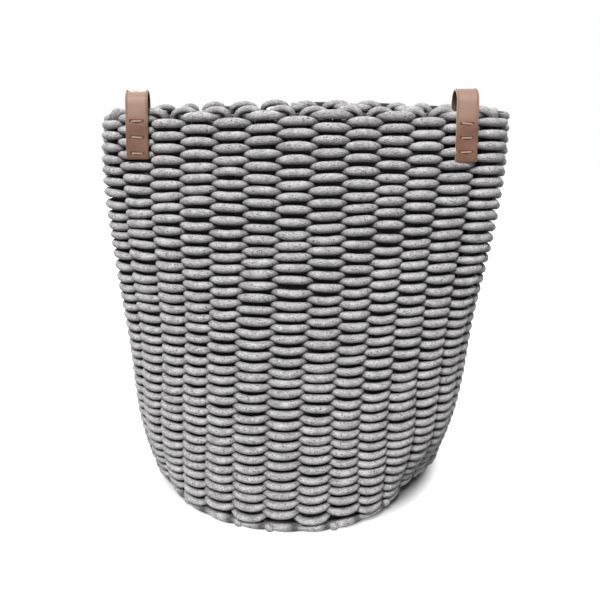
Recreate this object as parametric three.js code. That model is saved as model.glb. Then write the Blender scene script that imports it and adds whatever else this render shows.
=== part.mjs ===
// A woven cotton laundry basket: one long cord passes in and out of 27 upright stake cords, each
// stake bends over at the mouth to its neighbour, and two leather loops are sewn over the rim.
// Millimetres, +Z up, -Y is the front, and the origin is under the middle of the basket, on the floor.
import * as THREE from "three";

// The oval body, measured on the outside of the weave. It is nearly round at the floor and pressed
// to a wide oval at the mouth, which hangs a little lower at its two narrow ends and higher on the
// right than on the left.
const baseHalfWidth = 207.5;
const baseHalfDepth = 171.5;
const rimHalfWidth = 254.5;
const rimHalfDepth = 90;
const weaveTop = 488;
const endDroop = 5.4;
const rimTilt = 3.7;
const widthEase = 1.35;
const depthEase = 1.56;
const cornerRadius = 30;
const cornerSweep = THREE.MathUtils.degToRad(20);

// The weave. The courses lie a little closer at the foot than at the mouth. The stakes lean round the
// wall in a slight curve, by these shares of a stake spacing at the foot, and stand closer together at
// the front than at the back, most of all halfway up.
const stakeCount = 27;
const courseCount = 74;
const courseEase = 0.037;
const stakePhase = -0.112;
const stakeLean = -0.486;
const stakeBow = 0.115;
const frontCrowding = 0.064;
const middleCrowding = 0.073;
const weaveThickness = 29;
const grooveDepth = 9;
const innerRelief = 2.5;
const footMargin = 3;
const topMargin = 1;

// The loops that the stakes make along the mouth.
const stakeCordDiameter = 8.6;
const loopRise = 8.2;
const seatGap = 0.3;

// The foot of the basket: a cord round the edge of the base, and the woven base inside it.
const edgeCordDiameter = 11;
const edgeCordNarrowing = 2.5;
const edgeCordOut = 8;
const floorClearance = 0.5;
const baseThickness = 13;
const baseCourses = 11;
const baseGroove = 2.5;

// The leather handles over the rim. Their places are in stake spacings from the front stake.
const leftHandlePlace = -4.8;
const rightHandlePlace = 5;
const strapWidth = 25;
const strapThickness = 2.6;
const strapLegLength = 51;
const fingerHeight = 14.2;
const strapClearance = 0.3;

// The three thread stitches on the outer leg of each handle.
const stitchCount = 3;
const stitchLength = 15;
const stitchThickness = 1.6;
const stitchPitch = 17.5;
const lowestStitch = 7.5;

// How finely round things are cut, and how far apart two points are taken to find a direction.
const cordSides = 8;
const stitchSides = 6;
const stitchEndSteps = 2;
const loopSteps = 6;
const innerRings = 10;
const strapSteps = 12;
const quarterSteps = 90;
const shareStep = 0.002;
const alongStep = 1;

// The looks of the materials in the photograph.
const cotton = new THREE.MeshStandardMaterial({ color: 0xa9a6a5, roughness: 0.95 });
const cottonShade = new THREE.MeshStandardMaterial({ color: 0x9a9796, roughness: 0.95 });
const leather = new THREE.MeshStandardMaterial({ color: 0xa0715a, roughness: 0.55 });
const thread = new THREE.MeshStandardMaterial({ color: 0xb98a63, roughness: 0.7 });

// Values that follow from those above. The edge cord follows the rounded corner below the foot, just
// far enough along it to clear the wall.
const halfWeave = weaveThickness / 2;
const edgeRadius = edgeCordDiameter / 2;
const edgeAlong = -cornerRadius * Math.asin((edgeRadius + seatGap) / (cornerRadius + edgeCordOut));
const edgeTilt = cornerSweep - edgeAlong / cornerRadius;
const cornerTop = floorClearance + edgeRadius + (cornerRadius + edgeCordOut) * Math.sin(edgeTilt);
const cornerLength = cornerRadius * cornerSweep;
const wallLength = cornerLength + weaveTop - cornerTop;
const turn = 2 * Math.PI;

const basket = new THREE.Group();

function addMesh(name, geometry, material) {
  const mesh = new THREE.Mesh(geometry, material);
  mesh.name = name;
  basket.add(mesh);
  return mesh;
}

// The half width and half depth of the middle of the weave, and its height, at a distance along the
// wall from the foot. Below the foot the rounded corner simply goes on.
function section(along) {
  const bend = Math.min(0, along / cornerRadius - cornerSweep);
  const inset = cornerRadius * (1 - Math.cos(bend)) + halfWeave;
  const height = along < cornerLength
    ? cornerTop + cornerRadius * Math.sin(bend)
    : cornerTop + along - cornerLength;
  const rise = THREE.MathUtils.clamp((height - cornerTop) / (weaveTop - cornerTop), 0, 1);
  const widen = 1 - (1 - rise) ** widthEase;
  const flatten = rise ** depthEase;
  return {
    halfWidth: baseHalfWidth + (rimHalfWidth - baseHalfWidth) * widen - inset,
    halfDepth: baseHalfDepth + (rimHalfDepth - baseHalfDepth) * flatten - inset,
    height,
    droop: endDroop * rise,
    tilt: rimTilt * rise,
  };
}

// Cumulative length round a quarter of the oval, kept for each section that has been asked for.
const quarterTables = new Map();

function quarterTable(halfWidth, halfDepth) {
  const key = halfWidth + "/" + halfDepth;
  if (!quarterTables.has(key)) {
    const lengths = [0];
    for (let i = 1; i <= quarterSteps; i++) {
      const middle = ((i - 0.5) / quarterSteps) * (Math.PI / 2);
      const step = Math.hypot(halfWidth * Math.cos(middle), halfDepth * Math.sin(middle));
      lengths.push(lengths[i - 1] + step);
    }
    quarterTables.set(key, lengths);
  }
  return quarterTables.get(key);
}

// The angle of the oval at a share of the way round it, from the middle of the front to the right,
// so that equal shares are equal lengths of wall.
function ovalAngle(halfWidth, halfDepth, share) {
  const lengths = quarterTable(halfWidth, halfDepth);
  const quarters = 4 * (share - Math.floor(share));
  const quarter = Math.floor(quarters);
  const mirrored = quarter % 2 === 1;
  const within = mirrored ? quarter + 1 - quarters : quarters - quarter;
  const target = within * lengths[quarterSteps];
  let low = 0;
  while (low < quarterSteps - 1 && lengths[low + 1] < target) low++;
  const part = (target - lengths[low]) / (lengths[low + 1] - lengths[low]);
  const angle = ((low + part) / quarterSteps) * (Math.PI / 2);
  return mirrored ? ((quarter + 1) * Math.PI) / 2 - angle : (quarter * Math.PI) / 2 + angle;
}

// A point in the middle of the weave.
function middlePoint(share, along) {
  const { halfWidth, halfDepth, height, droop, tilt } = section(along);
  const angle = ovalAngle(halfWidth, halfDepth, share);
  const side = Math.sin(angle);
  const x = halfWidth * side;
  const y = -halfDepth * Math.cos(angle);
  return new THREE.Vector3(x, y, height + tilt * side - droop * side * side);
}

// The wall's own directions at a point: round it to the right, up it, and out of it.
function wallFrame(share, along) {
  const round = middlePoint(share + shareStep, along).sub(middlePoint(share - shareStep, along));
  const up = middlePoint(share, along + alongStep).sub(middlePoint(share, along - alongStep)).normalize();
  const out = round.clone().cross(up).normalize();
  return { round: up.clone().cross(out), up, out };
}

function wallPoint(share, along, offset) {
  return middlePoint(share, along).addScaledVector(wallFrame(share, along).out, offset);
}

function stakeShare(stake, along = wallLength) {
  const below = 1 - along / wallLength;
  const even = (stake + stakePhase + (stakeLean + stakeBow * below) * below) / stakeCount;
  const crowding = frontCrowding + 4 * middleCrowding * below * (1 - below);
  return even - (crowding * Math.sin(turn * even)) / turn;
}

// A mesh from points and from triangles that name three points each.
function indexedGeometry(points, triangles) {
  const geometry = new THREE.BufferGeometry().setFromPoints(points);
  geometry.setIndex(triangles);
  geometry.computeVertexNormals();
  return geometry;
}

// The woven wall, as one long spiral of half steps: the cord passes a stake at every second one, and
// the place straight above is a whole round later. With an odd number of stakes the cord is outside
// at every second stake and changes sides from round to round.
function wovenWall() {
  const points = [];
  const triangles = [];
  const backStake = Math.ceil(stakeCount / 2);
  const aroundSteps = 2 * stakeCount;
  const lastStep = aroundSteps * (courseCount - 1);
  const wovenLength = wallLength - footMargin - topMargin;
  const quad = (a, b, c, d) => triangles.push(a, b, c, a, c, d);
  const ring = (along, offset) => {
    const first = points.length;
    for (let i = 0; i < aroundSteps; i++) {
      points.push(wallPoint(stakeShare(backStake + i / 2, along), along, offset));
    }
    return first;
  };

  for (let step = 0; step <= lastStep; step++) {
    const climbed = step / lastStep;
    const along = footMargin + wovenLength * climbed * (1 - courseEase * (1 - climbed));
    // Outside a stake, halfway to the next one, inside it, and halfway again.
    const depth = [0, 0.5, 1, 0.5][step % 4] * grooveDepth;
    points.push(wallPoint(stakeShare(backStake + step / 2, along), along, halfWeave - depth));
  }
  for (let step = 0; step + aroundSteps + 1 <= lastStep; step++) {
    const [a, b, c, d] = [step, step + 1, step + aroundSteps + 1, step + aroundSteps];
    // The crease across each four points starts in a groove.
    if (step % 4 < 2) quad(b, c, d, a);
    else quad(a, b, c, d);
  }

  const lowest = ring(0, halfWeave - grooveDepth / 2);
  const highest = ring(wallLength, halfWeave - grooveDepth / 2);
  const lastRound = lastStep - aroundSteps;
  for (let i = 0; i < aroundSteps; i++) {
    const next = (i + 1) % aroundSteps;
    quad(lowest + i, lowest + next, i + 1, i);
    quad(lastRound + i, lastRound + i + 1, highest + next, highest + i);
  }
  triangles.push(lowest, 0, aroundSteps);
  triangles.push(highest, lastStep, lastRound);

  // The inside, from the mouth down, in plain rings.
  const inside = [];
  for (let r = innerRings; r >= 0; r--) {
    inside.push(ring((wallLength * r) / innerRings, innerRelief - halfWeave));
  }
  const rings = [highest, ...inside, lowest];
  for (let r = 0; r + 1 < rings.length; r++) {
    for (let i = 0; i < aroundSteps; i++) {
      const next = (i + 1) % aroundSteps;
      quad(rings[r] + i, rings[r] + next, rings[r + 1] + next, rings[r + 1] + i);
    }
  }
  return indexedGeometry(points, triangles);
}

// A stake's upper end, bent over to the next stake in half an oval. It stands square on the top
// edge of the weave, beside the end of the next loop.
class LoopCurve extends THREE.Curve {
  constructor(middle, round, up, halfSpan) {
    super();
    Object.assign(this, { middle, round, up, halfSpan });
  }

  getPoint(t, target = new THREE.Vector3()) {
    const angle = Math.PI * t;
    return target
      .copy(this.middle)
      .addScaledVector(this.round, -this.halfSpan * Math.cos(angle))
      .addScaledVector(this.up, seatGap + loopRise * Math.sin(angle));
  }
}

function circle(radius, sides) {
  const corners = [];
  for (let i = 0; i < sides; i++) {
    const angle = (turn * (i + 0.5)) / sides;
    corners.push(new THREE.Vector2(radius * Math.cos(angle), radius * Math.sin(angle)));
  }
  return new THREE.Shape(corners);
}

// Half of the angle by which the top edge turns at a stake.
function halfTurn(stake) {
  const at = (k) => middlePoint(stakeShare(k), wallLength);
  const before = at(stake).sub(at(stake - 1));
  const after = at(stake + 1).sub(at(stake));
  return before.angleTo(after) / 2;
}

function stakeLoop(stake) {
  const start = middlePoint(stakeShare(stake), wallLength);
  const end = middlePoint(stakeShare(stake + 1), wallLength);
  const chord = end.clone().sub(start);
  const span = chord.length();
  const round = chord.clone().normalize();
  const clear = (k) => (stakeCordDiameter + seatGap) / 2 / Math.cos(halfTurn(k));
  const from = clear(stake);
  const to = span - clear(stake + 1);
  const middle = start.clone().addScaledVector(round, (from + to) / 2);
  const lean = wallFrame(stakeShare(stake + 0.5), wallLength).up;
  const up = lean.addScaledVector(round, -lean.dot(round)).normalize();
  const path = new LoopCurve(middle, round, up, (to - from) / 2);
  return new THREE.ExtrudeGeometry(circle(stakeCordDiameter / 2, cordSides), {
    steps: loopSteps,
    bevelEnabled: false,
    extrudePath: path,
  });
}

// The cord round the edge of the base. Each stake comes out over it as a knob, with the cord drawn
// in between, so its section grows and shrinks once for each stake.
function edgeCord() {
  const points = [];
  const triangles = [];
  const rings = stakeCount * 2;
  for (let i = 0; i < rings; i++) {
    const share = stakeShare(i / 2, edgeAlong);
    const radius = i % 2 === 0 ? edgeRadius : edgeRadius - edgeCordNarrowing / 2;
    const centre = wallPoint(share, edgeAlong, edgeCordOut);
    const { up, out } = wallFrame(share, edgeAlong);
    for (let s = 0; s < cordSides; s++) {
      const angle = (turn * s) / cordSides;
      points.push(
        centre
          .clone()
          .addScaledVector(out, radius * Math.cos(angle))
          .addScaledVector(up, radius * Math.sin(angle)),
      );
    }
  }
  for (let i = 0; i < rings; i++) {
    const j = (i + 1) % rings;
    for (let s = 0; s < cordSides; s++) {
      const t = (s + 1) % cordSides;
      const [a, b, c, d] = [i, j, j, i].map((r, n) => r * cordSides + (n < 2 ? s : t));
      triangles.push(a, b, c, a, c, d);
    }
  }
  return indexedGeometry(points, triangles);
}

// The base: rounds of cord over the stakes, as low ribs on the upper face, flat underneath. It fills
// the oval inside the edge cord.
function wovenBase() {
  const points = [];
  const triangles = [];
  const addRing = (size, height) => {
    for (let stake = 0; stake < stakeCount; stake++) {
      const share = stakeShare(stake, edgeAlong);
      const { out } = wallFrame(share, edgeAlong);
      const level = out.setZ(0).normalize();
      const edge = wallPoint(share, edgeAlong, edgeCordOut).addScaledVector(level, -edgeRadius - seatGap);
      points.push(edge.multiplyScalar(size).setZ(height));
    }
  };
  addRing(1, 0);
  addRing(1, baseThickness - baseGroove);
  for (let rib = baseCourses; rib > 1; rib--) {
    addRing((rib - 0.5) / baseCourses, baseThickness);
    addRing((rib - 1) / baseCourses, baseThickness - baseGroove);
  }
  const rings = points.length / stakeCount;
  const below = points.push(new THREE.Vector3(0, 0, 0)) - 1;
  const above = points.push(new THREE.Vector3(0, 0, baseThickness)) - 1;
  for (let i = 0; i < stakeCount; i++) {
    const j = (i + 1) % stakeCount;
    triangles.push(below, j, i);
    for (let r = 0; r + 1 < rings; r++) {
      const [lower, upper] = [r * stakeCount, (r + 1) * stakeCount];
      triangles.push(lower + i, lower + j, upper + j, lower + i, upper + j, upper + i);
    }
    const last = (rings - 1) * stakeCount;
    triangles.push(last + i, last + j, above);
  }
  return indexedGeometry(points, triangles);
}

// A leather strap folded over the rim: a straight outer leg, half a round over the loops, and a
// straight inner leg, drawn in the plane that looks along the wall.
function strapOutline(bend, legTop) {
  const outer = bend + strapThickness;
  const outline = new THREE.Shape();
  outline.moveTo(outer, -strapLegLength);
  outline.lineTo(outer, legTop);
  for (let i = 1; i <= strapSteps; i++) {
    const angle = (Math.PI * i) / strapSteps;
    outline.lineTo(outer * Math.cos(angle), legTop + outer * Math.sin(angle));
  }
  outline.lineTo(-outer, -strapLegLength);
  outline.lineTo(-bend, -strapLegLength);
  outline.lineTo(-bend, legTop);
  for (let i = strapSteps - 1; i >= 0; i--) {
    const angle = (Math.PI * i) / strapSteps;
    outline.lineTo(bend * Math.cos(angle), legTop + bend * Math.sin(angle));
  }
  outline.lineTo(bend, -strapLegLength);
  return outline;
}

// A handle's own group: x out of the wall, y up it, z round it, with its origin on the top edge.
function handleFrame(stake) {
  const share = stakeShare(stake);
  const { round, up, out } = wallFrame(share, wallLength - strapLegLength / 2);
  const frame = new THREE.Group();
  frame.matrixAutoUpdate = false;
  frame.matrix.makeBasis(out, up, round.negate()).setPosition(middlePoint(share, wallLength));
  return frame;
}

function addHandle(side, stake) {
  const frame = handleFrame(stake);
  const bend = halfWeave + strapClearance;
  const legTop = seatGap + loopRise + stakeCordDiameter / 2 + fingerHeight - bend;
  const strap = new THREE.ExtrudeGeometry(strapOutline(bend, legTop), {
    depth: strapWidth,
    bevelEnabled: false,
  });
  strap.translate(0, 0, -strapWidth / 2);
  const strapMesh = new THREE.Mesh(strap, leather);
  strapMesh.name = side + "_handle";
  frame.add(strapMesh);

  for (let i = 0; i < stitchCount; i++) {
    const stitch = new THREE.CapsuleGeometry(
      stitchThickness / 2,
      stitchLength - stitchThickness,
      stitchEndSteps,
      stitchSides,
    );
    stitch.rotateX(Math.PI / 2);
    const mesh = new THREE.Mesh(stitch, thread);
    const face = bend + strapThickness + strapClearance + stitchThickness / 2;
    mesh.position.set(face, lowestStitch - strapLegLength + (stitchCount - 1 - i) * stitchPitch, 0);
    mesh.name = side + "_handle_stitch_" + (i + 1);
    frame.add(mesh);
  }
  basket.add(frame);
}

addMesh("woven_wall", wovenWall(), cotton);
addMesh("edge_cord", edgeCord(), cottonShade);
addMesh("woven_base", wovenBase(), cottonShade);
for (let stake = 0; stake < stakeCount; stake++) {
  addMesh("stake_loop_" + String(stake + 1).padStart(2, "0"), stakeLoop(stake), cotton);
}
addHandle("left", leftHandlePlace);
addHandle("right", rightHandlePlace);

// The origin comes under the middle of the whole basket.
basket.updateMatrixWorld(true);
const bounds = new THREE.Box3().setFromObject(basket, true);
basket.position.set(-(bounds.min.x + bounds.max.x) / 2, -(bounds.min.y + bounds.max.y) / 2, -bounds.min.z);

export default basket;
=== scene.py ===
import math

import bpy
import numpy as np
from mathutils import Matrix, Vector


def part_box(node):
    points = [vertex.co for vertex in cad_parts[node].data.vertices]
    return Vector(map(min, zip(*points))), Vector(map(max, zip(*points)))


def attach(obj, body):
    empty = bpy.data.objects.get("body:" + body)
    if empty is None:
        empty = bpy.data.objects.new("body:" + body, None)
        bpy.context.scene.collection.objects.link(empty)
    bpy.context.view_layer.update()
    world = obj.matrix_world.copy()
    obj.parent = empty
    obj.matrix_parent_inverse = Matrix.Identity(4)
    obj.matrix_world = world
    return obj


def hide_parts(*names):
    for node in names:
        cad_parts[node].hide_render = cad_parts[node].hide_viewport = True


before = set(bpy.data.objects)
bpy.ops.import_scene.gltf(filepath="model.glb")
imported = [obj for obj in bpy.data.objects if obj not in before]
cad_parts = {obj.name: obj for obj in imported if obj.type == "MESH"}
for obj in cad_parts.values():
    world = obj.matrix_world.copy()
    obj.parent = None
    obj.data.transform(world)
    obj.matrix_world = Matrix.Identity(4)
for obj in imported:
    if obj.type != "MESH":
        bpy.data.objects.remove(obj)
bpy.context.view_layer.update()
draw = np.random.default_rng(31)  # every uneven thing is drawn from here, in a fixed order
print("loaded the packed basket:", len(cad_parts), "nodes")

# The wall, as on the drawing of the solids. Lengths are in millimetres until a mesh is made. The
# last course rides a little above the top edge of the wall, so its margin is negative.
wall = {
    "baseHalfWidth": 207.5,
    "baseHalfDepth": 171.5,
    "rimHalfWidth": 254.5,
    "rimHalfDepth": 90.0,
    "weaveTop": 488.0,
    "endDroop": 5.4,
    "rimTilt": 3.7,
    "widthEase": 1.35,
    "depthEase": 1.56,
    "cornerRadius": 30.0,
    "cornerSweep": math.radians(20),
    "halfWeave": 14.5,
    "edgeRadius": 5.5,
    "edgeOut": 8.0,
    "clearance": 0.5,
    "gap": 0.3,
    "stakes": 27,
    "courses": 74,
    "courseEase": 0.037,
    "stakePhase": -0.112,
    "stakeLean": -0.486,
    "stakeBow": 0.115,
    "frontCrowding": 0.064,
    "middleCrowding": 0.073,
    "footMargin": 3.0,
    "topMargin": -1.0,
}
stakes = wall["stakes"]
crossings = stakes * (wall["courses"] - 1)
backStake = math.ceil(stakes / 2)
reachOut = wall["cornerRadius"] + wall["edgeOut"]
edgeAlong = -wall["cornerRadius"] * math.asin((wall["edgeRadius"] + wall["gap"]) / reachOut)
edgeTilt = wall["cornerSweep"] - edgeAlong / wall["cornerRadius"]
cornerTop = wall["clearance"] + wall["edgeRadius"] + reachOut * math.sin(edgeTilt)
cornerLength = wall["cornerRadius"] * wall["cornerSweep"]
wallLength = cornerLength + wall["weaveTop"] - cornerTop
quarterSteps = 90
quarterMiddles = (np.arange(quarterSteps) + 0.5) / quarterSteps * math.pi / 2


def unit(v):
    return v / np.linalg.norm(v, axis=-1, keepdims=True)


def section(along):
    bend = np.minimum(0, along / wall["cornerRadius"] - wall["cornerSweep"])
    inset = wall["cornerRadius"] * (1 - np.cos(bend)) + wall["halfWeave"]
    straight = cornerTop + along - cornerLength
    height = np.where(along < cornerLength, cornerTop + wall["cornerRadius"] * np.sin(bend), straight)
    rise = np.clip((height - cornerTop) / (wall["weaveTop"] - cornerTop), 0, 1)
    widen = 1 - (1 - rise) ** wall["widthEase"]
    flatten = rise ** wall["depthEase"]
    halfWidth = wall["baseHalfWidth"] + (wall["rimHalfWidth"] - wall["baseHalfWidth"]) * widen - inset
    halfDepth = wall["baseHalfDepth"] + (wall["rimHalfDepth"] - wall["baseHalfDepth"]) * flatten - inset
    return halfWidth, halfDepth, height, rise


def ovalAngle(halfWidth, halfDepth, share):  # equal shares are equal lengths round the oval
    steps = np.hypot(halfWidth[:, None] * np.cos(quarterMiddles), halfDepth[:, None] * np.sin(quarterMiddles))
    lengths = np.concatenate([np.zeros((len(steps), 1)), np.cumsum(steps, 1)], 1)
    quarters = 4 * (share - np.floor(share))
    quarter = np.floor(quarters)
    mirrored = quarter % 2 == 1
    target = np.where(mirrored, quarter + 1 - quarters, quarters - quarter) * lengths[:, -1]
    low = np.clip((lengths < target[:, None]).sum(1) - 1, 0, quarterSteps - 1)
    row = np.arange(len(low))
    part = (target - lengths[row, low]) / (lengths[row, low + 1] - lengths[row, low])
    angle = (low + part) / quarterSteps * math.pi / 2
    return np.where(mirrored, (quarter + 1) * math.pi / 2 - angle, quarter * math.pi / 2 + angle)


def middlePoint(share, along):
    share, along = np.broadcast_arrays(np.atleast_1d(share).astype(float), np.atleast_1d(along).astype(float))
    halfWidth, halfDepth, height, rise = section(along)
    angle = ovalAngle(halfWidth, halfDepth, share)
    side = np.sin(angle)
    level = height + (wall["rimTilt"] * side - wall["endDroop"] * side * side) * rise
    return np.stack([halfWidth * side, -halfDepth * np.cos(angle), level], -1)


def wallFrame(share, along):  # round the wall, up it and out of it
    roundIt = middlePoint(share + 0.002, along) - middlePoint(share - 0.002, along)
    up = unit(middlePoint(share, along + 1) - middlePoint(share, along - 1))
    out = unit(np.cross(roundIt, up))
    return np.cross(up, out), up, out


def wallPoint(share, along, out, sideways=0.0, upward=0.0):
    roundIt, up, outward = wallFrame(share, along)
    shift = outward * np.atleast_1d(out)[:, None] + roundIt * np.atleast_1d(sideways)[:, None]
    return middlePoint(share, along) + shift + up * np.atleast_1d(upward)[:, None]


def stakeShare(stake, along=wallLength):
    below = 1 - along / wallLength
    even = (stake + wall["stakePhase"] + (wall["stakeLean"] + wall["stakeBow"] * below) * below) / stakes
    crowding = wall["frontCrowding"] + 4 * wall["middleCrowding"] * below * (1 - below)
    return even - crowding * np.sin(2 * math.pi * even) / (2 * math.pi)


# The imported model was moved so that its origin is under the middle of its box. The same step is
# found again from the base, whose edge is worked out here as it was there.
edgeShares = stakeShare(np.arange(stakes), edgeAlong)
edgeOutward = wallFrame(edgeShares, edgeAlong)[2] * [1, 1, 0]
baseEdge = wallPoint(edgeShares, edgeAlong, wall["edgeOut"])
baseEdge = baseEdge - unit(edgeOutward) * (wall["edgeRadius"] + wall["gap"])
baseLow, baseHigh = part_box("woven_base")
moved = (np.array(baseLow) + np.array(baseHigh)) * 500 - (baseEdge.min(0) + baseEdge.max(0)) / 2
moved[2] = baseLow[2] * 1000
rimLength = np.linalg.norm(np.diff(middlePoint(np.linspace(0, 1, 400), wallLength), axis=0), axis=1).sum()
print("the model stands", np.round(moved, 3), "mm from the drawing's origin")


class Drift:  # a smooth unevenness that closes round the basket
    def __init__(self, size, fastest, shortest, count=9):
        self.turns = draw.integers(1, fastest + 1, count)
        self.climbs = draw.uniform(-1, 1, count) * 2 * math.pi / shortest
        self.phases = draw.uniform(0, 2 * math.pi, count)
        self.size = size / math.sqrt(count / 2)

    def __call__(self, share, along):
        angle = np.multiply.outer(np.atleast_1d(share) * 2 * math.pi, self.turns)
        angle = angle + np.multiply.outer(np.atleast_1d(along), self.climbs) + self.phases
        return np.sin(angle).sum(-1) * self.size


lift = Drift(0.9, 9, 70)  # courses that ride a little high or low
sway = Drift(1.0, 12, 120)  # stakes that stand a little to one side
bulge = Drift(1.4, 6, 160)  # soft dents and swellings of the wall

# Where each strap hangs, counted in stakes from the middle of the front, how it is turned and how it
# leans, in degrees, and how far it reaches below and above the rim. Of its three stitches: how far the
# lowest is from the strap's end, the way from one to the next, and how each is tilted, from the top one.
handles = {
    "left": {
        "stake": -5.06,
        "twist": 31.0,
        "lean": -1.4,
        "reach": 48.5,
        "top": 29.4,
        "lowest": 5.8,
        "pitch": 18.0,
        "tilts": (0.5, -0.5, 0.2),
    },
    "right": {
        "stake": 5.25,
        "twist": -25.0,
        "lean": 0.8,
        "reach": 52.7,
        "top": 29.9,
        "lowest": 11.0,
        "pitch": 15.8,
        "tilts": (-1.6, 0.3, 0.6),
    },
}
# How far the wall follows a strap that doesn't lie quite along it, beside the strap and below its end.
underStrap = {"halfWidth": 34, "fade": 20, "below": 22, "follow": 0.85, "turned": 14, "pressed": 0.6}

# Where the soft wall is pushed out or in, and where its stakes lean: the middle and the half width of
# each place in stakes, its middle and half height in mm up the wall, and how far it moves in mm.
pushes = [
    (6.4, 0.9, 395.0, 125.0, 12.0),  # the right end of the mouth
    (7.3, 0.65, 440.0, 170.0, -15.0),
    (-6.4, 1.0, 490.0, 60.0, -6.0),  # its left end
    (-7.2, 0.6, 440.0, 170.0, -8.0),
    (-7.6, 0.8, 490.0, 110.0, -5.0),
    (5.2, 1.8, -5.0, 60.0, -26.0),  # the foot: two drawn-in corners and a full front
    (-4.6, 1.3, -5.0, 45.0, -9.0),
    (0.5, 2.6, -5.0, 32.0, 6.5),
]
leanings = [
    (-4.4, 1.5, 200.0, 110.0, 7.0),
    (-1.8, 1.0, 190.0, 140.0, -5.0),
    (1.3, 1.3, 280.0, 85.0, 6.0),
    (4.7, 1.8, 190.0, 110.0, -6.5),
    (2.8, 1.0, 130.0, 70.0, -4.0),
    (8.2, 1.7, 420.0, 130.0, 26.0),  # behind the ends of the mouth, drawn towards the back's middle
    (-8.2, 1.7, 420.0, 130.0, -26.0),
]


def smooth(x):
    x = np.clip(x, 0, 1)
    return x * x * (3 - 2 * x)


def movedAt(places, share, along):
    total = 0
    for place, width, height, tall, amount in places:
        away = ((share - stakeShare(place, along) + 0.5) % 1 - 0.5) * stakes / width
        total = total + amount * np.exp(-(away**2) - ((along - height) / tall) ** 2)
    return total


def aside(share, along):
    share, along = np.broadcast_arrays(np.atleast_1d(share), np.atleast_1d(along))
    return sway(share, along) + movedAt(leanings, share, along)


# How far the soft wall stands out from its drawn shape.
def dent(share, along):
    share, along = np.broadcast_arrays(np.atleast_1d(share), np.atleast_1d(along))
    total = bulge(share, along) + movedAt(pushes, share, along)
    for handle in handles.values():
        away = ((share - stakeShare(handle["stake"]) + 0.5) % 1 - 0.5) * rimLength
        above = along - wallLength + handle["reach"] + underStrap["below"]
        near = smooth((underStrap["halfWidth"] - abs(away)) / underStrap["fade"])
        near = near * smooth(above / underStrap["below"])
        slope = math.tan(math.radians(handle["twist"])) * underStrap["follow"]
        turned = slope * np.clip(away, -underStrap["turned"], underStrap["turned"])
        total = total - near * (turned + underStrap["pressed"])
    return total


def makePiece(name, points, faces, material, replaced=None, attributes=None, uv=None):
    mesh = bpy.data.meshes.new(name)
    placed = (np.asarray(points) + moved) / 1000
    mesh.from_pydata(placed.tolist(), [], faces)
    for key, values in (attributes or {}).items():
        values = np.asarray(values, np.float32)
        isVector = values.ndim == 2
        layer = mesh.attributes.new(key, "FLOAT_VECTOR" if isVector else "FLOAT", "POINT")
        layer.data.foreach_set("vector" if isVector else "value", values.ravel())
    if uv is not None:
        layer = mesh.uv_layers.new(name="OFBake")
        layer.uv.foreach_set("vector", np.asarray(uv, np.float32).ravel())
    mesh.materials.append(material)
    mesh.polygons.foreach_set("use_smooth", np.ones(len(mesh.polygons), bool))
    mesh.validate()
    piece = bpy.data.objects.new(name, mesh)
    bpy.context.scene.collection.objects.link(piece)
    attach(piece, "root")
    if replaced:
        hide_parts(replaced)


placeRadius = 5  # of the straight round cord on which the cotton's pattern lies


# Rings of points along a path, each square to it, with the faces between them and, for each point,
# its place on the straightened cord: along it, and from its middle outwards and upwards.
def sweep(centres, outward, halfDepth, halfHeight, sides, closed=False):
    count = len(centres)
    if closed:
        ahead = np.roll(centres, -1, 0) - np.roll(centres, 1, 0)
    else:
        ahead = np.gradient(centres, axis=0)
    ahead = unit(ahead)
    outward = unit(outward - ahead * (outward * ahead).sum(1, keepdims=True))
    upward = np.cross(ahead, outward)
    angle = 2 * math.pi * np.arange(sides) / sides
    halfDepth = np.broadcast_to(halfDepth, count)[:, None, None]
    halfHeight = np.broadcast_to(halfHeight, count)[:, None, None]
    points = centres[:, None] + outward[:, None] * halfDepth * np.cos(angle)[None, :, None]
    points = points + upward[:, None] * halfHeight * np.sin(angle)[None, :, None]
    lengths = np.linalg.norm(np.diff(centres, axis=0), axis=1)
    along = np.concatenate([[0], np.cumsum(lengths)])
    placeOut, placeUp = placeRadius * np.cos(angle)[None], placeRadius * np.sin(angle)[None]
    place = np.stack(np.broadcast_arrays(along[:, None], placeOut, placeUp), -1)
    rings = count if closed else count - 1
    i = np.arange(rings)[:, None] * sides
    j = (np.arange(rings)[:, None] + 1) % count * sides
    s = np.arange(sides)[None]
    t = (s + 1) % sides
    quads = np.stack(np.broadcast_arrays(i + s, i + t, j + t, j + s), -1).reshape(-1, 4)
    return points.reshape(-1, 3), quads, place.reshape(-1, 3)


def capped(points, quads, sides):  # the faces of an open tube with both of its ends closed
    last = len(points) - sides
    return quads.tolist() + [list(range(sides))[::-1], list(range(last, last + sides))]


def joined(tubes, sides):  # several open tubes as one mesh
    faces, total = [], 0
    for points, quads, _ in tubes:
        faces += [[v + total for v in face] for face in capped(points, quads, sides)]
        total += len(points)
    return np.concatenate([tube[0] for tube in tubes]), faces, np.concatenate([tube[2] for tube in tubes])


# A flat map for a long cord: its length is cut into rows that lie side by side, and its two round
# ends lie in a last row.
def stripMap(rings, sides, rows):
    perRow = math.ceil(rings / rows)
    i = np.arange(rings)[:, None, None]
    s = np.arange(sides)[None, :, None]
    stepI = np.array([0, 0, 1, 1])
    stepS = np.array([0, 1, 1, 0])
    u = (i % perRow + stepI) / perRow
    v = (i // perRow + 0.04 + 0.92 * (s + stepS) / sides) / (rows + 1)
    u, v = np.broadcast_arrays(u, v)
    flat = np.stack([0.002 + 0.996 * u, v], -1).reshape(-1, 2)
    angle = 2 * math.pi * np.arange(sides) / sides
    disc = np.stack([np.cos(angle), np.sin(angle)], -1) * 0.35 / (rows + 1)
    ends = [disc[::-1] + [0.25, (rows + 0.5) / (rows + 1)], disc + [0.75, (rows + 0.5) / (rows + 1)]]
    return np.concatenate([flat, *ends])


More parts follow.
